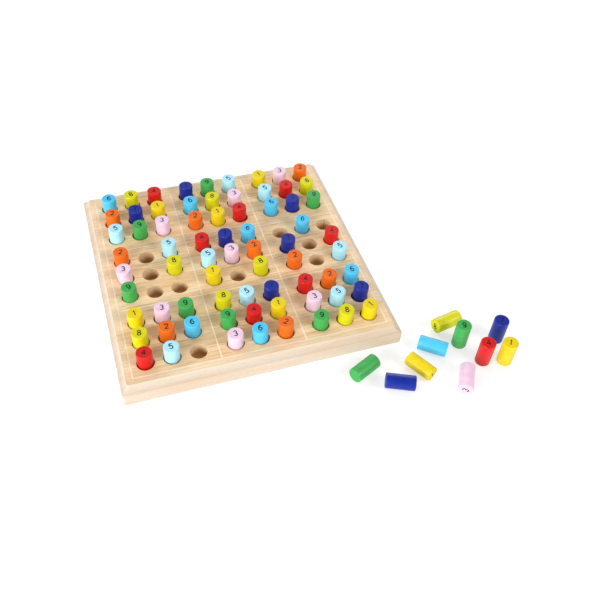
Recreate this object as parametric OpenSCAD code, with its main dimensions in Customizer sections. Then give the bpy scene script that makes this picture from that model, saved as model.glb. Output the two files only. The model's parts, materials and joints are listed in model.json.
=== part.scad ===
// Wooden sudoku board with number pegs.
// A square board with a hollowed bevel has a blind hole for each of its 81 cells,
// and white lines round its nine blocks. Painted dowel pegs stand in most of the holes,
// and the pegs still to be placed lie and stand on the table beside the front right corner.
// The origin is the middle of the underside. +X runs along the rows, +Y to the back, +Z up.

/* [Board] */
// Distance between neighbouring holes of a block, middle to middle
hole_pitch = 20; // [18:0.5:30]
// Extra distance between neighbouring holes of two blocks
block_gap = 8.6; // [2:0.1:20]
// Distance from the middle of an outer hole to the side of the board
board_margin = 21.4; // [18:0.1:40]
// Thickness of the board
board_thickness = 17; // [15:0.5:30]
// Radius of the upright corners of the board
corner_radius = 2; // [0.5:0.1:14]
// Width of the bevel round the top, seen from above
bevel_width = 4.9; // [3:0.1:5.5]
// Height of the bevel on the side of the board
bevel_height = 5.7; // [3:0.1:10]
// How deep the bevel is hollowed, below a straight one
bevel_hollow = 0.9; // [0.2:0.1:1.2]

/* [Holes] */
// How much wider a hole is than a peg
hole_clearance = 1.4; // [0.4:0.1:3]
// Depth of a hole
hole_depth = 11; // [6:0.5:13]
// Width of the eased edge round the mouth of a hole
hole_ease = 0.4; // [0.1:0.1:1]

/* [Lines] */
// Distance from the middle of an outer hole to the outer line
line_margin = 11.5; // [9.5:0.1:15]
// Width of a line
line_width = 1; // [0.5:0.1:2]
// Depth of the groove that a line fills
line_depth = 0.4; // [0.2:0.1:1]

/* [Pegs] */
// Diameter of a peg
peg_diameter = 12; // [9:0.1:13]
// Length of a peg
peg_length = 23; // [20:0.5:30]
// Radius of the rounded edges of a peg
peg_ease = 0.6; // [0.2:0.1:1.5]

/* [Hidden] */
$fn = 64;
// How far each cut runs past the face that it opens
overrun = 1;

// Rows from the back to the front, columns from left to right, with a dot for an empty hole
CELLS = [
    "684795132",
    "271683548",
    "593214679",
    "2.5476.6.",
    "3.85327.4",
    "9..1.82.5",
    "139857426",
    "826941357",
    "45.362981"
];
EMPTY = ".";
last_cell = len(CELLS);
cells_in_block = sqrt(last_cell);
middle_cell = (last_cell + 1) / 2;
middle_block = (cells_in_block + 1) / 2;
// The pegs of the rows up to this one are grouped by their number, and the rest stand alone
last_grouped_row = 4;

// Name, number, place from the front right corner in shares of the peg's length, and the
// turn of a lying peg about the upright axis. A peg with no turn stands on its end.
LOOSE_PEG_SHARES = [
    ["loose_peg_8", 8, [1.835, 0.22], 11],
    ["loose_peg_9_standing", 9, [1.95, -0.62]],
    ["loose_peg_7_standing", 7, [3.31, -0.78]],
    ["loose_peg_6", 6, [0.89, -0.65], 142.5],
    ["loose_peg_1", 1, [0.13, -1.33], 118],
    ["loose_peg_9", 9, [-1.71, -0.89], 25],
    ["loose_peg_7", 7, [-0.78, -1.74], 156],
    ["loose_peg_4_standing", 4, [2.4, -1.535]],
    ["loose_peg_1_standing", 1, [3.135, -1.74]],
    ["loose_peg_3", 3, [1.415, -2.21], 59]
];

WOOD = [0.88, 0.76, 0.6];
WHITE = [0.97, 0.95, 0.9];
// Paint of the pegs numbered 1 to 9
PAINTS = [
    [0.98, 0.81, 0.05],
    [0.97, 0.42, 0.1],
    [0.97, 0.78, 0.86],
    [0.87, 0.12, 0.13],
    [0.7, 0.89, 0.96],
    [0.3, 0.74, 0.95],
    [0.11, 0.18, 0.58],
    [0.85, 0.83, 0.1],
    [0.26, 0.68, 0.33]
];

peg_radius = peg_diameter / 2;
hole_radius = (peg_diameter + hole_clearance) / 2;
hole_floor = board_thickness - hole_depth;
outer_hole = cell_place(last_cell);
board_half = outer_hole + board_margin;
line_half = outer_hole + line_margin;
LINE_PLACE_SHARES = [-1, -1 / 3, 1 / 3, 1];

// The bevel is an arc through both of its edges. Places are outward and upward from the origin.
bevel_chord = norm([bevel_width, bevel_height]);
bevel_radius = (pow(bevel_chord / 2, 2) + pow(bevel_hollow, 2)) / (2 * bevel_hollow);
bevel_middle = [board_half - bevel_width / 2, board_thickness - bevel_height / 2];
bevel_outward = [bevel_height, bevel_width] / bevel_chord;
bevel_centre = bevel_middle + bevel_outward * (bevel_radius - bevel_hollow);

function cell_place(cell) = (cell - middle_cell) * hole_pitch
    + (ceil(cell / cells_in_block) - middle_block) * block_gap;
function cell_number(row, column) = CELLS[row - 1][column - 1];
function peg_name(row, column) = str("peg_row_", row, "_column_", column);
function group_name(number) = str("back_pegs_", number);

// The board from above, with its rounded corners
module board_outline() {
    inner_half = board_half - corner_radius;
    square(2 * [board_half, inner_half], center = true);
    square(2 * [inner_half, board_half], center = true);
    for (x = [-inner_half, inner_half], y = [-inner_half, inner_half])
        translate([x, y]) circle(corner_radius);
}

// The board before it is drilled. A round cut along each side leaves the bevel,
// and the cuts of two sides meet in a mitre at the corner.
module slab() {
    difference() {
        linear_extrude(board_thickness) board_outline();
        for (turn = [0:90:270]) rotate(turn)
            translate([bevel_centre.x, 0, bevel_centre.y]) rotate([90, 0, 0])
                cylinder(r = bevel_radius, h = 2 * (board_half + overrun), center = true);
    }
}

// Cutter for one blind hole with an eased mouth, from its floor up
module hole_cutter() {
    rotate_extrude() polygon([
        [0, 0],
        [hole_radius, 0],
        [hole_radius, hole_depth - hole_ease],
        [hole_radius + hole_ease + overrun, hole_depth + overrun],
        [0, hole_depth + overrun]
    ]);
}

// The lines round the blocks, seen from above
module line_pattern() {
    length = 2 * line_half + line_width;
    for (share = LINE_PLACE_SHARES) {
        translate([share * line_half, 0]) square([line_width, length], center = true);
        translate([0, share * line_half]) square([length, line_width], center = true);
    }
}

module board() {
    color(WOOD) difference() {
        slab();
        for (row = [1:last_cell], column = [1:last_cell])
            translate([cell_place(column), -cell_place(row), hole_floor]) hole_cutter();
        translate([0, 0, board_thickness - line_depth])
            linear_extrude(line_depth + overrun) line_pattern();
    }
}

// White paint that fills the grooves of the board
module grid_lines() {
    color(WHITE) translate([0, 0, board_thickness - line_depth])
        linear_extrude(line_depth) line_pattern();
}

// One peg standing on its end, in the paint of its number
module peg(number) {
    color(PAINTS[number - 1]) rotate_extrude() {
        square([peg_radius - peg_ease, peg_length]);
        translate([0, peg_ease]) square([peg_radius, peg_length - 2 * peg_ease]);
        for (height = [peg_ease, peg_length - peg_ease])
            translate([peg_radius - peg_ease, height]) circle(peg_ease);
    }
}

// A peg on the floor of its hole
module seated_peg(row, column) {
    translate([cell_place(column), -cell_place(row), hole_floor])
        peg(ord(cell_number(row, column)) - ord("0"));
}

// The pegs of one number in the rows at the back
module back_pegs(number) {
    for (row = [1:last_grouped_row], column = [1:last_cell])
        if (cell_number(row, column) == str(number)) seated_peg(row, column);
}

// A peg on the table beside the board, standing or lying on its side
module loose_peg(number, place_share, turn) {
    translate([board_half, -board_half, 0] + concat(place_share * peg_length, 0))
        if (is_undef(turn)) peg(number);
        else rotate(turn) translate([-peg_length / 2, 0, peg_radius]) rotate([0, 90, 0]) peg(number);
}

board();
grid_lines();
for (number = [1:last_cell])
    back_pegs(number);
for (row = [last_grouped_row + 1:last_cell], column = [1:last_cell])
    if (cell_number(row, column) != EMPTY)
        seated_peg(row, column);
for (loose = LOOSE_PEG_SHARES)
    loose_peg(loose[1], loose[2], loose[3]);
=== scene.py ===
"""A wooden sudoku board with painted number pegs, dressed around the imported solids.

The board, its white lines and every peg are modelled as meshes in the frame's own places. All lengths are
in metres, +X runs along the rows, +Y to the back and +Z up, and the board stands on the floor at height 0.
"""
import json
import math

import bpy
from mathutils import Matrix, Vector
from mathutils.geometry import delaunay_2d_cdt


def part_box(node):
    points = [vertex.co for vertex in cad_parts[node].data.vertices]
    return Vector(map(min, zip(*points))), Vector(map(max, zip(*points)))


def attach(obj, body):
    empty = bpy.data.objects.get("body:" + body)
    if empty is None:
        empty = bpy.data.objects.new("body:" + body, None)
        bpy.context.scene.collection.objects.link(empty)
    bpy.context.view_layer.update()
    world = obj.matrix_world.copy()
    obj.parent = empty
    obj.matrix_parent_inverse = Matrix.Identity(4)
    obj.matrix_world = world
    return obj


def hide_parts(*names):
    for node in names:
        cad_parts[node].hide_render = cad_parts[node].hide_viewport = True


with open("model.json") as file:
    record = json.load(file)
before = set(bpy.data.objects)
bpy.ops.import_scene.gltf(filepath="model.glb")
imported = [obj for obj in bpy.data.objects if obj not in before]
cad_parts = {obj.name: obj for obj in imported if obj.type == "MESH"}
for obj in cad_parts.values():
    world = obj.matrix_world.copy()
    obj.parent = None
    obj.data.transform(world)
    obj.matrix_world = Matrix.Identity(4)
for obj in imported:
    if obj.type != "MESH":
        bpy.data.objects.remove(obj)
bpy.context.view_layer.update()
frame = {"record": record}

MM = 0.001

# Rows from the back to the front, with a dot for an empty hole
CELLS = [
    "684795132",
    "271683548",
    "593214679",
    "2.5476.6.",
    "3.85327.4",
    "9..1.82.5",
    "139857426",
    "826941357",
    "45.362981",
]
EMPTY = "."
# The pegs of the rows up to this one are grouped by their number
LAST_GROUPED_ROW = 4
# A row whose pegs all stand alone, which shows the places of the holes
FULL_ROW = 7

# How far each number is turned on its peg, in degrees, anticlockwise seen from above
NUMBER_TURNS = [
    [-5, 15, 0, 0, 5, 20, 8, -10, -15],
    [-5, 0, 6, 12, -12, 0, 5, 0, 10],
    [5, 12, -8, -5, 8, 0, 22, 0, -20],
    [-10, 0, 5, 3, 0, -15, 0, -20, 0],
    [-5, 0, 5, 15, 15, 18, 10, 0, 0],
    [10, 0, 0, -3, 0, 8, 0, 0, 12],
    [5, -10, 3, -5, 8, 0, -12, -3, -3],
    [-7, 0, -3, 10, -3, -8, 3, 8, -10],
    [-5, 0, 0, 0, -8, -35, -15, -10, 18],
]

# Which way each seated peg leans, as on a keypad with 8 to the back and 5 upright
LEANS = [
    "689988555",
    "698585555",
    "968257555",
    "558447555",
    "452584655",
    "255454255",
    "564615565",
    "595458666",
    "885548536",
]
KEYPAD_WIDTH = 3
# How far the top of a leaning peg is from its upright place
LEAN_REACH = 0.8 * MM

# Turn about the upright axis of each peg that lies on its side, and which of its ends has the number
LYING_PEGS = {
    "loose_peg_8": (11, "near"),
    "loose_peg_6": (142.5, "far"),
    "loose_peg_1": (118, "near"),
    "loose_peg_9": (25, "far"),
    "loose_peg_7": (156, "near"),
    "loose_peg_3": (59, "near"),
}
# How far the number is turned on each loose peg, in degrees, anticlockwise seen from outside
LOOSE_NUMBER_TURNS = {
    "loose_peg_8": 15,
    "loose_peg_9_standing": -20,
    "loose_peg_7_standing": -25,
    "loose_peg_6": 40,
    "loose_peg_1": 20,
    "loose_peg_9": -30,
    "loose_peg_7": 75,
    "loose_peg_4_standing": -15,
    "loose_peg_1_standing": -38,
    "loose_peg_3": 72,
}

PAINT_SLOTS = [
    "yellow_paint",
    "orange_paint",
    "pink_paint",
    "red_paint",
    "pale_blue_paint",
    "sky_blue_paint",
    "dark_blue_paint",
    "lime_paint",
    "green_paint",
]


def middle(node):
    low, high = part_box(node)
    return (low + high) / 2


def tenth(length):
    """A length from the frame's facets, to the nearest tenth of a millimetre."""
    return round(length / MM, 1) * MM


# Sizes that the frame gives
board_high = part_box("board")[1]
lines_low, lines_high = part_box("grid_lines")
peg_low, peg_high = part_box("peg_row_9_column_1")
BOARD_HALF = tenth(board_high.x)
BOARD_TOP = tenth(board_high.z)
LINE_DEPTH = tenth(lines_high.z - lines_low.z)
PEG_RADIUS = tenth(peg_high.x - peg_low.x) / 2
PEG_LENGTH = tenth(peg_high.z - peg_low.z)
HOLE_FLOOR = tenth(peg_low.z)
HOLE_RADIUS = max(mount["dims"].get("r_mm", 0) for mount in frame["record"]["mounts"]) * MM
CELL_PLACES = [
    tenth(middle(f"peg_row_{FULL_ROW}_column_{column}").x)
    for column in range(1, len(CELLS) + 1)
]
HOLE_PITCH = CELL_PLACES[1] - CELL_PLACES[0]

# Sizes as in the solids, which the frame's boxes don't give
CORNER_RADIUS = 2.0 * MM
BEVEL_WIDTH = 4.9 * MM
BEVEL_HEIGHT = 5.7 * MM
BEVEL_HOLLOW = 0.9 * MM
LINE_WIDTH = 1.0 * MM
PEG_EASE = 0.6 * MM
BEVEL_INNER = BOARD_HALF - BEVEL_WIDTH
LINE_HALF = tenth(lines_high.x) - LINE_WIDTH / 2
LINE_PLACES = [LINE_HALF * share for share in (-1, -1 / 3, 1 / 3, 1)]

# Fine forms that only the dressed model has
TOP_EDGE_ROUND = 0.3 * MM
BEVEL_EDGE_ROUND = 0.5 * MM
BOTTOM_EDGE_ROUND = 0.6 * MM
MITRE_ROUND = 1.6 * MM
HOLE_EASE = 0.2 * MM
DIMPLE_RADIUS = 1.5 * MM
DIMPLE_DEPTH = 0.8 * MM
LINE_SINK = 0.06 * MM
LINE_EDGE_SINK_SHARE = 0.3
LINE_FREE = 0.01 * MM
# How far the grain of a peg is moved along it from that of the peg before
GRAIN_SHIFT = 71 * MM

# Numbers printed on the pegs
NUMBER_HEIGHT = 4.7 * MM
NUMBER_WIDTH = 2.8 * MM
STROKE_WIDTH = 0.86 * MM
# A stroke whose ends are nearer than this is closed
STROKE_CLOSED = STROKE_WIDTH / 100
# Least cosine of half a bend that the mitre of a stroke follows
LEAST_MITRE_SHARE = 0.5

# Rings of faces that keep the shading even: inside the bevel, round a hole, on its floor and on a peg's end
BEVEL_COLLAR = 1.6 * MM
HOLE_COLLAR = HOLE_PITCH / 12
FLOOR_RING_RADIUS = 2 * DIMPLE_RADIUS
END_RIM = 0.8 * MM
# Half of the square of the top whose faces part at the holes and grooves, inside the bevel
GRID_HALF = BEVEL_INNER - BEVEL_COLLAR

# Fineness of the meshes
HOLE_SIDES = 48
CORNER_STEPS = 10
BEVEL_STEPS = 10
ROUND_STEPS = 4
PEG_SIDES = 48
PEG_WALL_STEPS = 6
ARC_STEP_DEGREES = 10
SHARP_ANGLE = math.radians(35)
# Digits of a millimetre to which two places are one
PLACE_DIGITS = 4
# Places nearer than this are one in the outline of a number
NUMBER_MERGE = 1e-4 * MM
# Where the faces of a line part, in shares of the outer line's half and of a line's width
LINE_BREAK_SHARES = (-0.8, -0.6, 0, 0.6, 0.8)
LINE_WIDTH_SHARES = (-0.5, -0.25, 0, 0.25, 0.5)
# The loops round a hole begin at its front right corner
FIRST_CORNER_DEGREES = -45

# Material slots of the board: its wood, and the painted shade in the holes that hold a peg
TOP_SLOT, SHADED_HOLE_SLOT = range(2)


class Shape:
    """Faces collected by their corner points. Corners at the same place become one."""

    def __init__(self):
        self.places = []
        self.numbers = {}
        self.faces = []
        self.slots = []
        self.grain_places = []

    def corner(self, place, grain_place):
        key = tuple(round(value / MM, PLACE_DIGITS) for value in place)
        if key not in self.numbers:
            self.numbers[key] = len(self.places)
            self.places.append(tuple(place))
            self.grain_places.append(tuple(grain_place or place))
        return self.numbers[key]

    def face(self, places, slot=0, grain_places=None):
        grain_places = grain_places or [None] * len(places)
        corners = []
        for place, grain_place in zip(places, grain_places):
            number = self.corner(place, grain_place)
            if number not in corners:
                corners.append(number)
        if len(corners) > 2:
            self.faces.append(corners)
            self.slots.append(slot)

    def band(self, first, second, slot=0):
        """Faces between two closed loops of as many points."""
        for here in range(len(first)):
            after = (here + 1) % len(first)
            self.face([first[here], first[after], second[after], second[here]], slot)

    def build(self, name, materials):
        mesh = bpy.data.meshes.new(name)
        mesh.from_pydata(self.places, [], self.faces)
        for material in materials:
            mesh.materials.append(material)
        mesh.polygons.foreach_set("material_index", self.slots)
        mesh.polygons.foreach_set("use_smooth", [True] * len(self.faces))
        grain = mesh.attributes.new("grain_place", "FLOAT_VECTOR", "POINT")
        grain.data.foreach_set("vector", [value for place in self.grain_places for value in place])
        mesh.update()
        mesh.set_sharp_from_angle(angle=SHARP_ANGLE)
        piece = bpy.data.objects.new(name, mesh)
        bpy.context.scene.collection.objects.link(piece)
        return piece


def arc(centre, radius, start, end, steps):
    """Points of an arc in a plane, with its angles in degrees."""
    points = []
    for step in range(steps + 1):
        angle = math.radians(start + (end - start) * step / steps)
        points.append(Vector((centre[0] + radius * math.cos(angle), centre[1] + radius * math.sin(angle))))
    return points


def rounded_corner(before, corner, after, radius):
    """Points of the arc that rounds one corner of an outline."""
    before, corner, after = Vector(before), Vector(corner), Vector(after)
    to_before = (before - corner).normalized()
    to_after = (after - corner).normalized()
    half_angle = to_before.angle(to_after) / 2
    reach = radius / math.tan(half_angle)
    centre = corner + (to_before + to_after).normalized() * radius / math.sin(half_angle)
    first = corner + to_before * reach - centre
    last = corner + to_after * reach - centre
    points = []
    for step in range(ROUND_STEPS + 1):
        share = step / ROUND_STEPS
        spoke = first * (1 - share) + last * share
        points.append(centre + spoke.normalized() * radius)
    return points


def rounded(places):
    """Places in order, to the digits that tell them apart."""
    return [place * MM for place in sorted({round(place / MM, PLACE_DIGITS) for place in places})]


def top_breaks():
    """Places along a side of the top where its faces part: round the holes and at the grooves."""
    steps = HOLE_SIDES // 4
    places = [-GRID_HALF, GRID_HALF]
    for place in CELL_PLACES:
        places += [place + HOLE_PITCH * (step / steps - 0.5) for step in range(steps + 1)]
    for line in LINE_PLACES:
        places += [line - LINE_WIDTH / 2, line + LINE_WIDTH / 2]
    return rounded(places)


def in_line(x, y):
    """Whether a place on the top is inside a line of the grid."""
    if max(abs(x), abs(y)) > LINE_HALF + LINE_WIDTH / 2:
        return False
    return any(abs(value - line) < LINE_WIDTH / 2 for line in LINE_PLACES for value in (x, y))


def in_cell(x, y):
    """Whether a place on the top is in the square round a hole."""
    half = HOLE_PITCH / 2
    across = any(abs(x - place) < half for place in CELL_PLACES)
    along = any(abs(y - place) < half for place in CELL_PLACES)
    return across and along


def cell_loop(x, y):
    """Points round the square of one hole, from its front right corner anticlockwise."""
    half = HOLE_PITCH / 2
    steps = HOLE_SIDES // 4
    points = []
    for quarter in range(4):
        turn = Matrix.Rotation(math.radians(90 * quarter), 2)
        for step in range(steps):
            place = turn @ Vector((half, half * (2 * step / steps - 1)))
            points.append((x + place.x, y + place.y, BOARD_TOP))
    return points


def hole_loop(x, y, radius, height):
    """Points of a ring in one hole, each beside its point of the square."""
    points = []
    for step in range(HOLE_SIDES):
        angle = math.radians(360 * step / HOLE_SIDES + FIRST_CORNER_DEGREES)
        points.append((x + radius * math.cos(angle), y + radius * math.sin(angle), height))
    return points


def hole_profile():
    """Radius and height of the rings of a drilled hole, from its mouth to the point that the drill leaves."""
    rings = [(HOLE_RADIUS + HOLE_COLLAR, BOARD_TOP)]
    mouth = (HOLE_RADIUS + HOLE_EASE, BOARD_TOP - HOLE_EASE)
    rings += [tuple(point) for point in arc(mouth, HOLE_EASE, 90, 180, ROUND_STEPS)]
    rings.append((HOLE_RADIUS, (BOARD_TOP + HOLE_FLOOR) / 2))
    rings.append((HOLE_RADIUS, HOLE_FLOOR))
    rings.append((FLOOR_RING_RADIUS, HOLE_FLOOR))
    rings.append((DIMPLE_RADIUS, HOLE_FLOOR))
    return rings


def add_hole(shape, x, y, inner_slot):
    """One drilled hole, with the flat of its cell round its mouth."""
    loop = cell_loop(x, y)
    for radius, height in hole_profile():
        ring = hole_loop(x, y, radius, height)
        shape.band(loop, ring, inner_slot if height < BOARD_TOP - HOLE_EASE else TOP_SLOT)
        loop = ring
    point = (x, y, HOLE_FLOOR - DIMPLE_DEPTH)
    for here in range(HOLE_SIDES):
        shape.face([loop[here], loop[(here + 1) % HOLE_SIDES], point], inner_slot)


def add_top(shape):
    """The flat of the top round the holes, with the grooves for the lines."""
    breaks = top_breaks()
    floor = BOARD_TOP - LINE_DEPTH
    for left, right in zip(breaks, breaks[1:]):
        for front, back in zip(breaks, breaks[1:]):
            x, y = (left + right) / 2, (front + back) / 2
            if in_cell(x, y):
                continue
            groove = in_line(x, y)
            height = floor if groove else BOARD_TOP
            square = [(left, front), (right, front), (right, back), (left, back)]
            shape.face([(*place, height) for place in square])
            if groove:
                add_groove_walls(shape, square, floor)


def add_groove_walls(shape, square, floor):
    """Upright walls where a face of a groove's floor meets the flat of the top."""
    centre = sum((Vector(place) for place in square), Vector((0, 0))) / 4
    for first, second in zip(square, square[1:] + square[:1]):
        side_middle = (Vector(first) + Vector(second)) / 2
        beyond = side_middle + (side_middle - centre).normalized() * LINE_FREE
        if not in_line(*beyond):
            shape.face([(*first, floor), (*first, BOARD_TOP), (*second, BOARD_TOP), (*second, floor)])


def rim_profile():
    """Half width and height of the rim, from the flat top over the hollow bevel to the underside."""
    inner = Vector((BEVEL_INNER, BOARD_TOP))
    outer = Vector((BOARD_HALF, BOARD_TOP - BEVEL_HEIGHT))
    chord = (outer - inner).length
    radius = ((chord / 2) ** 2 + BEVEL_HOLLOW ** 2) / (2 * BEVEL_HOLLOW)
    outward = Vector((BEVEL_HEIGHT, BEVEL_WIDTH)) / chord
    centre = (inner + outer) / 2 + outward * (radius - BEVEL_HOLLOW)
    bevel = []
    for step in range(BEVEL_STEPS + 1):
        spoke = inner.lerp(outer, step / BEVEL_STEPS) - centre
        bevel.append(centre + spoke.normalized() * radius)
    foot = Vector((BOARD_HALF, 0))
    points = rounded_corner((GRID_HALF, BOARD_TOP), inner, bevel[1], TOP_EDGE_ROUND)
    points += bevel[1:-1]
    points += rounded_corner(bevel[-2], outer, foot, BEVEL_EDGE_ROUND)
    points += rounded_corner(outer, foot, (GRID_HALF, 0), BOTTOM_EDGE_ROUND)
    return points


def rim_corner_radius(half):
    """Radius of a loop's corners: that of the upright corner where it cuts the loop, or of the mitre."""
    diagonal = math.sqrt(2)
    upright = CORNER_RADIUS - (BOARD_HALF - half) * diagonal / (diagonal - 1)
    return max(MITRE_ROUND, upright)


def rim_loop(breaks, half, corner_radius, height):
    """A square loop with round corners."""
    axis = half - corner_radius
    points = []
    for quarter in range(4):
        turn = Matrix.Rotation(math.radians(90 * quarter), 2)
        side = [Vector((half, place)) for place in breaks]
        side += arc((axis, axis), corner_radius, 0, 90, CORNER_STEPS)
        points += [(*(turn @ place), height) for place in side]
    return points


def add_rim(shape):
    """The rim from the flat of the top to the underside, and the underside."""
    breaks = top_breaks()
    loops = [rim_loop(breaks, GRID_HALF, 0, BOARD_TOP)]
    for half, height in rim_profile():
        loops.append(rim_loop(breaks, half, rim_corner_radius(half), height))
    loops.append(rim_loop(breaks, GRID_HALF, 0, 0))
    for upper, lower in zip(loops, loops[1:]):
        shape.band(lower, upper)
    shape.face(list(reversed(loops[-1])))


def make_board(wood, shaded_hole_wood):
    """The board, with painted shade on the walls and floors of the holes that hold a peg."""
    shape = Shape()
    add_top(shape)
    for row_place, numbers in zip(CELL_PLACES, reversed(CELLS)):
        for column_place, number in zip(CELL_PLACES, numbers):
            # Holes that hold a peg get the painted shade on their walls and floors
            add_hole(shape, column_place, row_place, TOP_SLOT if number == EMPTY else SHADED_HOLE_SLOT)
    add_rim(shape)
    return shape.build("board_dressed", [wood, shaded_hole_wood])


def line_breaks():
    """Places along a side where the faces of the lines part, four to the width of a line."""
    places = [share * LINE_HALF for share in LINE_BREAK_SHARES]
    painted_width = LINE_WIDTH - 2 * LINE_FREE
    for line in LINE_PLACES:
        places += [line + share * painted_width for share in LINE_WIDTH_SHARES]
    return rounded(places)


def line_height(x, y):
    """The paint sinks a little towards the middle of a line."""
    half = LINE_WIDTH / 2
    nearest = [min(abs(value - line) for line in LINE_PLACES) / half for value in (x, y)]
    sink = max(1 - min(share, 1) ** 2 for share in nearest)
    return BOARD_TOP - LINE_SINK * (LINE_EDGE_SINK_SHARE + (1 - LINE_EDGE_SINK_SHARE) * sink)


def make_lines(paint):
    """White paint in the grooves, as one closed body."""
    shape = Shape()
    breaks = line_breaks()
    spans = list(zip(breaks, breaks[1:]))
    bottom = BOARD_TOP - LINE_DEPTH + LINE_FREE
    painted = {
        (column, row)
        for column, (left, right) in enumerate(spans)
        for row, (front, back) in enumerate(spans)
        if in_line((left + right) / 2, (front + back) / 2)
    }
    for column, row in sorted(painted):
        (left, right), (front, back) = spans[column], spans[row]
        square = [(left, front), (right, front), (right, back), (left, back)]
        shape.face([(*place, line_height(*place)) for place in square])
        shape.face([(*place, bottom) for place in reversed(square)])
        beside = [(column, row - 1), (column + 1, row), (column, row + 1), (column - 1, row)]
        for first, second, cell in zip(square, square[1:] + square[:1], beside):
            if cell not in painted:
                top_edge = [(*second, line_height(*second)), (*first, line_height(*first))]
                shape.face([(*first, bottom), (*second, bottom), *top_edge])
    return shape.build("grid_lines_dressed", [paint])


def ellipse(x, y, half_width, half_height, start, end):
    """Points along part of an ellipse, in shares of a number's width and height."""
    steps = max(3, round(abs(end - start) / ARC_STEP_DEGREES))
    points = []
    for step in range(steps + 1):
        angle = math.radians(start + (end - start) * step / steps)
        points.append((x + half_width * math.cos(angle), y + half_height * math.sin(angle)))
    return points


def turned(strokes):
    return [[(-x, -y) for x, y in stroke] for stroke in strokes]


SIX = [ellipse(0.02, -0.06, 0.46, 0.55, 48, 180) + ellipse(0, -0.19, 0.44, 0.31, 180, 540)[1:]]
# Middle lines of the strokes of the numbers 1 to 9, in shares of a number's width and height
STROKES = [
    [[(-0.3, 0.27), (0.02, 0.5), (0.02, -0.5)]],
    [ellipse(-0.02, 0.2, 0.44, 0.3, 165, -25) + [(-0.46, -0.5), (0.48, -0.5)]],
    [
        ellipse(-0.03, 0.26, 0.4, 0.24, 155, -90),
        ellipse(-0.03, -0.24, 0.45, 0.26, 90, -155),
    ],
    [[(0.2, -0.5), (0.2, 0.48), (-0.47, -0.2), (0.48, -0.2)]],
    [
        [(0.4, 0.5), (-0.32, 0.5), (-0.42, -0.02)],
        ellipse(-0.02, -0.17, 0.44, 0.33, 148, -150),
    ],
    SIX,
    [[(-0.45, 0.5), (0.45, 0.5), (0.1, 0.05), (-0.12, -0.5)]],
    [
        ellipse(0, 0.26, 0.36, 0.24, 0, 360),
        ellipse(0, -0.25, 0.44, 0.26, 0, 360),
    ],
    turned(SIX),
]


def stroke_sides(stroke):
    """Points on the left and right side of a stroke, mitred where it bends."""
    line = [Vector((x * NUMBER_WIDTH, y * NUMBER_HEIGHT)) for x, y in stroke]
    closed = (line[0] - line[-1]).length < STROKE_CLOSED
    left, right = [], []
    for here, point in enumerate(line):
        before = line[here - 1] if here else (line[-2] if closed else None)
        after = line[here + 1] if here + 1 < len(line) else (line[1] if closed else None)
        ways = [way.normalized() for way in (before and point - before, after and after - point) if way]
        way = sum(ways, Vector((0, 0))).normalized()
        side = Vector((-way.y, way.x)) * STROKE_WIDTH / 2
        side /= max(way.dot(ways[0]), LEAST_MITRE_SHARE)
        left.append(point + side)
        right.append(point - side)
    return left, right


def circle(radius, sides):
    return arc((0, 0), radius, 0, 360, sides)[:-1]


def number_face(number):
    """The flat end of a peg parted along the outline of its number: points and (corners, is ink) faces."""
    points = circle(PEG_RADIUS - PEG_EASE, PEG_SIDES)
    points += circle(PEG_RADIUS - END_RIM, PEG_SIDES)
    faces = [list(range(PEG_SIDES))]
    edges = [(PEG_SIDES + here, PEG_SIDES + (here + 1) % PEG_SIDES) for here in range(PEG_SIDES)]
    for stroke in STROKES[number - 1]:
        left, right = stroke_sides(stroke)
        for here in range(len(left) - 1):
            start = len(points)
            points += [right[here], right[here + 1], left[here + 1], left[here]]
            faces.append(list(range(start, start + 4)))
    inside_only = 1
    joined = delaunay_2d_cdt(points, edges, faces, inside_only, NUMBER_MERGE)
    joined_points, _, joined_faces, _, _, face_sources = joined
    parts = []
    for corners, sources in zip(joined_faces, face_sources):
        parts.append((list(corners), any(source > 0 for source in sources)))
    return joined_points, parts


NUMBER_FACES = [number_face(number) for number in range(1, len(STROKES) + 1)]

SIDE_SLOT, END_SLOT, INK_SLOT = range(3)


def peg_profile():
    """Radius and height of the rings of a peg, from its lower end to its upper one."""
    inner = PEG_RADIUS - PEG_EASE
    rings = [tuple(point) for point in arc((inner, PEG_EASE), PEG_EASE, -90, 0, ROUND_STEPS)]
    for step in range(1, PEG_WALL_STEPS):
        rings.append((PEG_RADIUS, PEG_EASE + (PEG_LENGTH - 2 * PEG_EASE) * step / PEG_WALL_STEPS))
    rings += [tuple(point) for point in arc((inner, PEG_LENGTH - PEG_EASE), PEG_EASE, 0, 90, ROUND_STEPS)]
    return rings


def add_peg(shape, placing, number, seed):
    """A peg whose number is on its upper end before placing turns and moves it."""
    grain_shift = Vector((0, 0, GRAIN_SHIFT * seed))

    def face(points, slot):
        shape.face([placing @ point for point in points], slot, [point + grain_shift for point in points])

    def ring(radius, height):
        return [Vector((*point, height)) for point in circle(radius, PEG_SIDES)]

    rings = [ring(radius, height) for radius, height in peg_profile()]
    for lower, upper in zip(rings, rings[1:]):
        for here in range(PEG_SIDES):
            after = (here + 1) % PEG_SIDES
            face([lower[here], lower[after], upper[after], upper[here]], SIDE_SLOT)
    inner = ring(PEG_RADIUS - END_RIM, 0)
    for here in range(PEG_SIDES):
        after = (here + 1) % PEG_SIDES
        face([rings[0][after], rings[0][here], inner[here], inner[after]], END_SLOT)
    face(list(reversed(inner)), END_SLOT)
    points, parts = NUMBER_FACES[number - 1]
    upper_end = [Vector((*point, PEG_LENGTH)) for point in points]
    for corners, ink in parts:
        face([upper_end[corner] for corner in corners], INK_SLOT if ink else END_SLOT)


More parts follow.
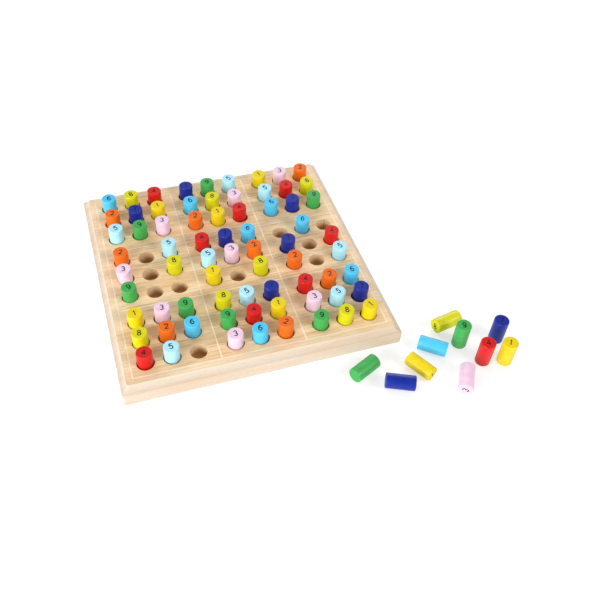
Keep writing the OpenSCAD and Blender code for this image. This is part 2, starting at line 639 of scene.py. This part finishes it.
class Graph:
    """The nodes of one material. node() adds a node with its settings and inputs."""

    def __init__(self, name):
        self.material = bpy.data.materials.new(name)
        self.material.use_nodes = True
        self.tree = self.material.node_tree
        self.shader = self.tree.nodes["Principled BSDF"]

    def put(self, socket, value):
        if isinstance(value, bpy.types.NodeSocket):
            self.tree.links.new(value, socket)
        else:
            socket.default_value = value

    def node(self, kind, settings=None, **inputs):
        node = self.tree.nodes.new("ShaderNode" + kind)
        for name, value in (settings or {}).items():
            setattr(node, name, value)
        for name, value in inputs.items():
            self.put(node.inputs[name.replace("_", " ")], value)
        return node

    def math(self, operation, first, second=0.0):
        node = self.node("Math", {"operation": operation})
        self.put(node.inputs[0], first)
        self.put(node.inputs[1], second)
        return node.outputs[0]

    def axes(self, place):
        return self.node("SeparateXYZ", Vector=place).outputs

    def moved(self, place, shift):
        node = self.node("VectorMath", {"operation": "ADD"})
        self.put(node.inputs[0], place)
        self.put(node.inputs[1], shift)
        return node.outputs[0]

    def noise(self, place, scale, detail=2.0, roughness=0.5):
        node = self.node("TexNoise", Vector=place, Scale=scale, Detail=detail, Roughness=roughness)
        return node.outputs["Fac"]

    def grain(self, place, scales, detail=2.0, roughness=0.5):
        """Noise with a scale of its own along each axis."""
        stretched = self.node("Mapping", Vector=place, Scale=scales).outputs[0]
        return self.noise(stretched, 1.0, detail, roughness)

    def span(self, value, low, high, to_low=0.0, to_high=1.0):
        """A value from one span laid smoothly on another."""
        settings = {"interpolation_type": "SMOOTHSTEP"}
        inputs = {"From_Min": low, "From_Max": high, "To_Min": to_low, "To_Max": to_high}
        return self.node("MapRange", settings, Value=value, **inputs).outputs[0]

    def mix(self, share, first, second, blend="MIX"):
        """A mix of two colours, whose sockets come after those for numbers and vectors."""
        node = self.node("Mix", {"data_type": "RGBA", "blend_type": blend})
        self.put(node.inputs[0], share)
        self.put(node.inputs[6], first)
        self.put(node.inputs[7], second)
        return node.outputs[2]

    def bump(self, height, strength, depth):
        return self.node("Bump", Height=height, Strength=strength, Distance=depth).outputs[0]

    def finish(self, **inputs):
        for name, value in inputs.items():
            self.put(self.shader.inputs[name.replace("_", " ")], value)
        return self.material


def linear(red, green, blue):
    """A colour in linear light from its 0 to 255 values on a screen."""
    shares = [value / 255 for value in (red, green, blue)]
    return tuple(s / 12.92 if s <= 0.04045 else ((s + 0.055) / 1.055) ** 2.4 for s in shares) + (1.0,)


PALE_WOOD = linear(250, 223, 181)
WARM_WOOD = linear(240, 202, 149)
DARK_WOOD = linear(184, 136, 87)
MARGIN_WOOD = linear(238, 214, 183)
# Paler, greyer wood of the bevel and sides: partly its own tone, partly painted light for the strong light
# that washes them out
RIM_WOOD_AND_PAINTED_LIGHT = linear(199, 188, 176)
RIM_STREAK_WOOD = linear(206, 156, 102)
HOLE_WOOD = linear(225, 199, 164)
# Darker wood low in the holes: painted shade towards their floors
DEEP_HOLE_SHADE = linear(195, 151, 100)
# Dark wood on the walls and floors of the holes that hold a peg: painted shade where the peg shades its hole
SHADED_HOLE_WOOD = linear(150, 108, 68)
SHADED_HOLE_DARK = linear(128, 88, 54)
PORE = linear(150, 108, 70)
FLECK = linear(128, 84, 50)
LINE_WHITE = linear(240, 223, 199)
LINE_WORN = linear(228, 205, 174)
INK = linear(6, 5, 7)
THIN_INK = linear(22, 20, 22)
# Paint of the pegs numbered 1 to 9
PAINTS = [
    linear(225, 200, 0),
    linear(227, 102, 5),
    linear(232, 199, 220),
    linear(204, 11, 9),
    linear(169, 224, 241),
    linear(74, 190, 233),
    linear(3, 33, 142),
    linear(209, 204, 2),
    linear(60, 163, 77),
]

# Where one strip of the glued board ends and the next begins, from the front, and how light each strip is
STRIP_BORDERS = [-86 * MM, -31.5 * MM, 2 * MM, 53 * MM]
STRIP_TONES = [0.9, 0.91, 0.96, 0.93, 0.98]
# The strips come from different planks, so the grain of each is moved by its tone along Y,
# and by its tone times these along X and upwards
STRIP_SHIFT_X = 3.0
STRIP_SHIFT_Z = 0.7
# The front strip is two pieces, end to end, and the right one is darker
FRONT_JOINT = 72 * MM
FRONT_JOINT_BLUR = 0.3 * MM
FRONT_RIGHT_TONE = (0.98, 0.96, 0.92, 1.0)
# Small dark flecks in the wood of the top: place, length and width
FLECKS = [
    (-69 * MM, 11 * MM, 4 * MM, 0.8 * MM),
    (-37 * MM, 5 * MM, 6 * MM, 0.9 * MM),
    (93 * MM, 28.5 * MM, 5 * MM, 0.7 * MM),
    (70 * MM, 11 * MM, 5 * MM, 0.6 * MM),
    (92 * MM, -31.8 * MM, 18 * MM, 0.6 * MM),
    (-12 * MM, 53 * MM, 22 * MM, 0.6 * MM),
]

# Scales of the noise in the wood along X, Y and Z
WAVE_SCALES = (9, 30, 30)
PATCH_SCALES = (12, 34, 34)
DASH_SCALES = (70, 800, 800)
FIBRE_SCALES = (45, 1900, 1900)
PORE_SCALES = (220, 2600, 2600)
DRILL_SCALES = (60, 60, 1600)
# Bands and streaks have one scale each, are drawn out along X and wander across the board with the wave
BAND_SCALE = 160.0
STREAK_SCALE = 760.0
DRAWN_OUT_SHARE = 0.05
WAVE_REACH = 9 * MM
# Spans of the wood's shading: where each begins and ends, and its shares there if they aren't 0 and 1
BAND_SPAN = (0.32, 0.7)
PATCH_SPAN = (0.5, 0.78, 0, 0.14)
STREAK_SPAN = (0.48, 0.72, 0, 0.46)
DASH_SPAN = (0.55, 0.76, 0, 0.5)
FIBRE_SPAN = (0.35, 0.75, 0, 0.26)
PORE_SPAN = (0.66, 0.74)
MARGIN_SPAN = (94 * MM, 103 * MM, 0, 0.4)
RIM_SPAN = (BEVEL_INNER - 1.2 * MM, BEVEL_INNER, 0, 0.75)
RIM_STREAK_SPAN = (0.45, 0.66, 0, 0.4)
INSIDE_SPAN = (BEVEL_INNER, BEVEL_INNER + MM, 1, 0)
DRILLED_SPAN = (BOARD_TOP - 1.2 * MM, BOARD_TOP - 0.2 * MM, 0.8, 0)
# Painted shade in the holes: full at their floors, gone 3 mm below the top
DEEP_SHADE_SPAN = (HOLE_FLOOR, BOARD_TOP - 3 * MM, 1, 0)
FLECK_SPAN = (0.1, 1.2, 0.5, 0)
DRILL_SPAN = (0.35, 0.7)
WOOD_ROUGHNESS_SPAN = (0.3, 0.7, 0.5, 0.62)
PORE_SHARE = 0.35
FIBRE_RISE_SHARE = 0.4
# Strength and depth of the bumps in the wood
WOOD_BUMP = (0.2, 0.1 * MM)


def strip_tones(graph, y):
    """How light the strip at a place is, as a grey colour."""
    across_share = graph.math("ADD", graph.math("MULTIPLY", y, 0.5 / BOARD_HALF), 0.5)
    strips = graph.node("ValToRGB", Fac=across_share)
    strips.color_ramp.interpolation = "CONSTANT"
    stops = strips.color_ramp.elements
    stops.remove(stops[1])
    for border, tone in zip([-BOARD_HALF] + STRIP_BORDERS, STRIP_TONES):
        share = 0.5 + 0.5 * border / BOARD_HALF
        stop = stops[0] if share <= 0 else stops.new(share)
        stop.color = (tone, tone, tone, 1)
    return strips.outputs["Color"]


def right_front_piece(graph, x, y):
    """Where the board is the right piece of its front strip."""
    border = STRIP_BORDERS[0]
    right = graph.span(x, FRONT_JOINT, FRONT_JOINT + FRONT_JOINT_BLUR)
    front = graph.span(y, border - FRONT_JOINT_BLUR, border, 1, 0)
    return graph.math("MULTIPLY", right, front)


def with_drilled_walls(graph, colour, across, z):
    """Fresh wood in the holes, with painted shade that makes it darker and warmer towards their floors."""
    drilled = graph.math("MULTIPLY", graph.span(across, *INSIDE_SPAN), graph.span(z, *DRILLED_SPAN))
    drilled_and_shaded_colour = graph.mix(graph.span(z, *DEEP_SHADE_SPAN), HOLE_WOOD, DEEP_HOLE_SHADE)
    return graph.mix(drilled, colour, drilled_and_shaded_colour)


def with_flecks(graph, colour, x, wavy_y):
    """Small dark flecks that follow the grain."""
    for fleck_x, fleck_y, length, width in FLECKS:
        run = graph.math("MULTIPLY", graph.math("SUBTRACT", x, fleck_x), 2 / length)
        wavy_fleck_y = fleck_y + WAVE_REACH / 2
        rise = graph.math("MULTIPLY", graph.math("SUBTRACT", wavy_y, wavy_fleck_y), 2 / width)
        distance = graph.math("ADD", graph.math("MULTIPLY", run, run), graph.math("MULTIPLY", rise, rise))
        colour = graph.mix(graph.span(distance, *FLECK_SPAN), colour, FLECK)
    return colour


def make_wood():
    """Pale sanded wood with its grain along X, glued up from strips."""
    graph = Graph("pale_wood")
    place = graph.node("TexCoord").outputs["Object"]
    x, y, z = graph.axes(place)
    across = graph.math("MAXIMUM", graph.math("ABSOLUTE", x), graph.math("ABSOLUTE", y))
    tone = strip_tones(graph, y)
    shift = graph.node("CombineXYZ", X=graph.math("MULTIPLY", tone, STRIP_SHIFT_X), Y=tone).outputs[0]
    plank_place = graph.moved(place, shift)

    wave = graph.grain(plank_place, WAVE_SCALES, detail=1.0)
    wavy_y = graph.math("ADD", y, graph.math("MULTIPLY", wave, WAVE_REACH))
    along = graph.math("MULTIPLY", graph.axes(plank_place)[0], DRAWN_OUT_SHARE)
    depth = graph.math("ADD", z, graph.math("MULTIPLY", tone, STRIP_SHIFT_Z))
    band_place = graph.node("CombineXYZ", X=along, Y=wavy_y, Z=depth).outputs[0]
    bands = graph.noise(band_place, BAND_SCALE, detail=3.0, roughness=0.6)
    streaks = graph.noise(band_place, STREAK_SCALE, detail=3.0, roughness=0.6)
    patches = graph.grain(plank_place, PATCH_SCALES)
    dashes = graph.grain(plank_place, DASH_SCALES, roughness=0.6)
    fibres = graph.grain(plank_place, FIBRE_SCALES)
    pores = graph.span(graph.grain(plank_place, PORE_SCALES, detail=1.0), *PORE_SPAN)

    colour = graph.mix(graph.span(bands, *BAND_SPAN), PALE_WOOD, WARM_WOOD)
    colour = graph.mix(graph.span(patches, *PATCH_SPAN), colour, DARK_WOOD)
    colour = graph.mix(graph.span(streaks, *STREAK_SPAN), colour, DARK_WOOD)
    colour = graph.mix(graph.span(dashes, *DASH_SPAN), colour, DARK_WOOD)
    colour = graph.mix(graph.span(fibres, *FIBRE_SPAN), colour, DARK_WOOD)
    colour = graph.mix(1.0, colour, tone, "MULTIPLY")
    colour = graph.mix(graph.span(across, *MARGIN_SPAN), colour, MARGIN_WOOD)
    # The bevel and sides turn paler and greyer: partly their own tone, partly painted light
    rim = graph.span(across, *RIM_SPAN)
    colour = graph.mix(rim, colour, RIM_WOOD_AND_PAINTED_LIGHT)
    rim_streaks = graph.math("MULTIPLY", rim, graph.span(bands, *RIM_STREAK_SPAN))
    colour = graph.mix(rim_streaks, colour, RIM_STREAK_WOOD)
    colour = graph.mix(right_front_piece(graph, x, y), colour, FRONT_RIGHT_TONE, "MULTIPLY")
    colour = graph.mix(graph.math("MULTIPLY", pores, PORE_SHARE), colour, PORE)
    colour = with_drilled_walls(graph, colour, across, z)
    colour = with_flecks(graph, colour, x, wavy_y)

    height = graph.math("SUBTRACT", graph.math("MULTIPLY", fibres, FIBRE_RISE_SHARE), pores)
    roughness = graph.span(fibres, *WOOD_ROUGHNESS_SPAN)
    normal = graph.bump(height, *WOOD_BUMP)
    return graph.finish(Base_Color=colour, Roughness=roughness, Normal=normal, Specular_IOR_Level=0.4)


def make_shaded_hole_wood():
    """Painted shade on the wall and floor of a hole that holds a peg: dark wood with rings from the drill."""
    graph = Graph("shaded_hole_wood")
    drill = graph.grain(graph.node("TexCoord").outputs["Object"], DRILL_SCALES)
    colour = graph.mix(graph.span(drill, *DRILL_SPAN), SHADED_HOLE_WOOD, SHADED_HOLE_DARK)
    normal = graph.bump(drill, *WOOD_BUMP)
    return graph.finish(Base_Color=colour, Roughness=0.7, Normal=normal, Specular_IOR_Level=0.2)


# Scales, spans and bumps of the paints, as for the wood
WEAR_SCALES = (300, 900, 900)
WEAR_SPAN = (0.5, 0.75, 0, 0.8)
LINE_BUMP = (0.3, 0.05 * MM)
CLOUD_SPAN = (0.3, 0.7)
SIDE_CLOUD_SCALE = 170.0
SIDE_GRAIN_SCALES = (1300, 1300, 60)
SIDE_GRAIN_SPAN = (0.5, 0.8, 0, 0.12)
SCUFF_SCALES = (900, 900, 500)
SCUFF_SPAN = (0.5, 0.68)
SCUFFED_EDGE_SPAN = (0, 0.9 * MM, 0.1, 0)
SIDE_ROUGHNESS_SPAN = (0.3, 0.7, 0.34, 0.46)
SIDE_BUMP = (0.16, 0.12 * MM)
END_CLOUD_SCALE = 420.0
END_PORE_SCALES = (2600, 2600, 60)
END_PORE_SPAN = (0.58, 0.74, 0, 0.25)
SAW_SCALES = (2400, 130, 60)
END_ROUGHNESS_SPAN = (0.35, 0.7, 0.46, 0.6)
END_BUMP = (0.3, 0.12 * MM)
INK_SCALES = (2200, 2200, 60)
INK_SPAN = (0.5, 0.8)
INK_BUMP = (0.2, 0.08 * MM)
# Shares of a paint's own light where it is thin, thick, in the grain or in a pore
SIDE_THIN_SHARE = 0.93
SIDE_THICK_SHARE = 1.04
SIDE_GRAIN_SHARE = 0.7
END_THIN_SHARE = 0.9
END_PORE_SHARE = 0.55
# How high clouds and saw marks stand against the grain and the pores
CLOUD_RISE_SHARE = 1.5
SAW_RISE_SHARE = 0.6


def make_line_paint():
    """Thin white paint, worn a little where the wood's grain shows through."""
    graph = Graph("line_white")
    wear = graph.grain(graph.node("TexCoord").outputs["Object"], WEAR_SCALES, detail=3.0, roughness=0.65)
    colour = graph.mix(graph.span(wear, *WEAR_SPAN), LINE_WHITE, LINE_WORN)
    normal = graph.bump(wear, *LINE_BUMP)
    return graph.finish(Base_Color=colour, Roughness=0.6, Normal=normal)


def peg_place(graph):
    """A place inside its own peg, which has the grain of another place than its neighbours."""
    return graph.node("Attribute", {"attribute_name": "grain_place"}).outputs["Vector"]


def distance_from_end(graph, place):
    """The distance of a place from the nearer end of its peg."""
    height = graph.math("MODULO", graph.axes(place)[2], GRAIN_SHIFT)
    return graph.math("MINIMUM", height, graph.math("SUBTRACT", PEG_LENGTH, height))


def shade(colour, share):
    return tuple(min(1.0, value * share) for value in colour[:3]) + (1.0,)


def make_side_paint(name, paint):
    """Satin paint over a turned dowel: faint grain along the peg, cloudy thickness and rubbed edges."""
    graph = Graph(name + "_side")
    place = peg_place(graph)
    clouds = graph.noise(place, SIDE_CLOUD_SCALE, detail=3.0, roughness=0.55)
    grain = graph.grain(place, SIDE_GRAIN_SCALES)
    scuffs = graph.grain(place, SCUFF_SCALES, detail=3.0, roughness=0.6)
    thin, thick = shade(paint, SIDE_THIN_SHARE), shade(paint, SIDE_THICK_SHARE)
    colour = graph.mix(graph.span(clouds, *CLOUD_SPAN), thin, thick)
    colour = graph.mix(graph.span(grain, *SIDE_GRAIN_SPAN), colour, shade(paint, SIDE_GRAIN_SHARE))
    near_edge = graph.span(distance_from_end(graph, place), *SCUFFED_EDGE_SPAN)
    rubbed = graph.math("MULTIPLY", near_edge, graph.span(scuffs, *SCUFF_SPAN))
    colour = graph.mix(rubbed, colour, PALE_WOOD)
    height = graph.math("ADD", grain, graph.math("MULTIPLY", clouds, CLOUD_RISE_SHARE))
    roughness = graph.span(clouds, *SIDE_ROUGHNESS_SPAN)
    normal = graph.bump(height, *SIDE_BUMP)
    return graph.finish(Base_Color=colour, Roughness=roughness, Normal=normal, Specular_IOR_Level=0.32,
                        Coat_Weight=0.12, Coat_Roughness=0.25)


def make_end_paint(name, paint):
    """The same paint on end grain, which drinks it: duller, with fine pores and saw marks."""
    graph = Graph(name + "_end")
    place = peg_place(graph)
    clouds = graph.noise(place, END_CLOUD_SCALE, detail=3.0, roughness=0.6)
    pores = graph.grain(place, END_PORE_SCALES, roughness=0.6)
    saw = graph.grain(place, SAW_SCALES, detail=1.0)
    colour = graph.mix(graph.span(clouds, *CLOUD_SPAN), shade(paint, END_THIN_SHARE), paint)
    colour = graph.mix(graph.span(pores, *END_PORE_SPAN), colour, shade(paint, END_PORE_SHARE))
    height = graph.math("SUBTRACT", graph.math("MULTIPLY", saw, SAW_RISE_SHARE), pores)
    roughness = graph.span(pores, *END_ROUGHNESS_SPAN)
    normal = graph.bump(height, *END_BUMP)
    return graph.finish(Base_Color=colour, Roughness=roughness, Normal=normal, Specular_IOR_Level=0.2)


def make_ink():
    """Black printed ink, a little thin where the end grain shows through."""
    graph = Graph("black_ink")
    grain = graph.grain(peg_place(graph), INK_SCALES, detail=3.0, roughness=0.6)
    colour = graph.mix(graph.span(grain, *INK_SPAN), INK, THIN_INK)
    normal = graph.bump(grain, *INK_BUMP)
    return graph.finish(Base_Color=colour, Roughness=0.5, Normal=normal, Specular_IOR_Level=0.15)


def seated(row, column):
    """Places a peg in its hole, leaning a little on the rim of its lower end."""
    x, y = CELL_PLACES[column - 1], -CELL_PLACES[row - 1]
    turn = math.radians(NUMBER_TURNS[row - 1][column - 1])
    key = int(LEANS[row - 1][column - 1]) - 1
    way = Vector((key % KEYPAD_WIDTH - 1, key // KEYPAD_WIDTH - 1, 0))
    lean = math.atan(LEAN_REACH / PEG_LENGTH) if way.length else 0.0
    placing = Matrix.Translation((x, y, HOLE_FLOOR + PEG_RADIUS * math.sin(lean)))
    placing @= Matrix.Rotation(lean, 4, Vector((-way.y, way.x, 0))) if lean else Matrix()
    return placing @ Matrix.Rotation(turn, 4, "Z")


def loose(node):
    """Places a loose peg where the frame has it, standing on its end or lying on its side."""
    place = middle(node)
    number_turn = math.radians(LOOSE_NUMBER_TURNS[node])
    if node not in LYING_PEGS:
        return Matrix.Translation((place.x, place.y, 0)) @ Matrix.Rotation(number_turn, 4, "Z")
    turn, number_end = LYING_PEGS[node]
    lean = math.radians(90 if number_end == "far" else -90)
    placing = Matrix.Translation((place.x, place.y, PEG_RADIUS))
    placing @= Matrix.Rotation(math.radians(turn), 4, "Z") @ Matrix.Rotation(lean, 4, "Y")
    placing @= Matrix.Translation((0, 0, -PEG_LENGTH / 2))
    return placing @ Matrix.Rotation(lean + number_turn, 4, "Z")


def peg_nodes():
    """For each node of pegs its number and the placings of its pegs."""
    nodes = {}
    for row, numbers in enumerate(CELLS, 1):
        for column, number in enumerate(numbers, 1):
            if number == EMPTY:
                continue
            node = f"peg_row_{row}_column_{column}"
            if row <= LAST_GROUPED_ROW:
                node = f"back_pegs_{number}"
            nodes.setdefault(node, (int(number), []))[1].append(seated(row, column))
    for node in LOOSE_NUMBER_TURNS:
        nodes[node] = (int(node.split("_")[2]), [loose(node)])
    return nodes


def dress(piece, node, body):
    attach(piece, body)
    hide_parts(node)


def dress_pegs():
    """Every node of pegs, with the grain of another place in each peg."""
    ink = make_ink()
    peg_paints = [
        [make_side_paint(slot, paint), make_end_paint(slot, paint), ink]
        for slot, paint in zip(PAINT_SLOTS, PAINTS)
    ]
    seed = 0
    for node, (number, placings) in peg_nodes().items():
        shape = Shape()
        for placing in placings:
            add_peg(shape, placing, number, seed)
            seed += 1
        piece = shape.build(f"{node}_painted", peg_paints[number - 1])
        dress(piece, node, node)


# The floor, light and camera
FLOOR_HALF = 3.0
FLOOR_DROP = 0.1 * MM
FLOOR_WHITE = (0.45, 0.45, 0.445, 1.0)
FLOOR_GLOW = 0.575
WORLD_STRENGTH = 0.34
# Soft round lights: direction in degrees round from the right and up, distance, width and power
LIGHTS = {
    "key_front_right": (-47, 36, 1.5, 0.65, 9.5),
    "left": (-147, 17, 1.5, 0.9, 20.5),
    "low_front": (-125, 10, 1.5, 0.9, 3.5),
    "back_right": (60, 26, 1.5, 0.9, 8.3),
    "back": (120, 48, 1.5, 1.0, 6.2),
}
CAMERA_AZIMUTH = math.radians(-21.15)
CAMERA_ELEVATION = math.radians(48.06)
CAMERA_ROLL = math.radians(4.17)
CAMERA_DISTANCE = 593.7 * MM
CAMERA_TARGET = Vector((40.8 * MM, -59.8 * MM, BOARD_TOP))
CAMERA_LENS_MM = 44.27
CAMERA_SENSOR_MM = 36.0


def make_floor():
    graph = Graph("floor_white")
    material = graph.finish(Base_Color=FLOOR_WHITE, Roughness=0.8, Specular_IOR_Level=0.2,
                            Emission_Color=(1, 1, 1, 1), Emission_Strength=FLOOR_GLOW)
    half = FLOOR_HALF
    mesh = bpy.data.meshes.new("floor")
    corners = [(-half, -half, 0), (half, -half, 0), (half, half, 0), (-half, half, 0)]
    mesh.from_pydata(corners, [], [(0, 1, 2, 3)])
    mesh.materials.append(material)
    floor = bpy.data.objects.new("floor", mesh)
    floor.location.z = -FLOOR_DROP
    bpy.context.scene.collection.objects.link(floor)


def make_light(name, azimuth, elevation, distance, width, power):
    azimuth, elevation = math.radians(azimuth), math.radians(elevation)
    flat = math.cos(elevation)
    direction = Vector((flat * math.cos(azimuth), flat * math.sin(azimuth), math.sin(elevation)))
    data = bpy.data.lights.new(name, "AREA")
    data.shape = "DISK"
    data.size = width
    data.energy = power
    light = bpy.data.objects.new(name, data)
    light.location = direction * distance
    light.rotation_euler = direction.to_track_quat("Z", "Y").to_euler()
    bpy.context.scene.collection.objects.link(light)


def make_camera():
    flat = math.cos(CAMERA_ELEVATION)
    back = Vector((
        math.sin(CAMERA_AZIMUTH) * flat,
        -math.cos(CAMERA_AZIMUTH) * flat,
        math.sin(CAMERA_ELEVATION),
    ))
    data = bpy.data.cameras.new("camera")
    data.sensor_width = CAMERA_SENSOR_MM
    data.lens = CAMERA_LENS_MM
    camera = bpy.data.objects.new("camera", data)
    upright = back.to_track_quat("Z", "Y").to_matrix()
    turned_back = upright @ Matrix.Rotation(CAMERA_ROLL, 3, "Z")
    camera.matrix_world = Matrix.Translation(CAMERA_TARGET + back * CAMERA_DISTANCE) @ turned_back.to_4x4()
    bpy.context.scene.collection.objects.link(camera)
    bpy.context.scene.camera = camera


def make_world():
    world = bpy.data.worlds.new("studio")
    world.use_nodes = True
    background = world.node_tree.nodes["Background"]
    background.inputs["Color"].default_value = (1, 1, 1, 1)
    background.inputs["Strength"].default_value = WORLD_STRENGTH
    bpy.context.scene.world = world


dress(make_board(make_wood(), make_shaded_hole_wood()), "board", "board")
dress(make_lines(make_line_paint()), "grid_lines", "board")
dress_pegs()
make_floor()
for name, values in LIGHTS.items():
    make_light(name, *values)
make_camera()
make_world()
bpy.context.scene.view_settings.view_transform = "Standard"
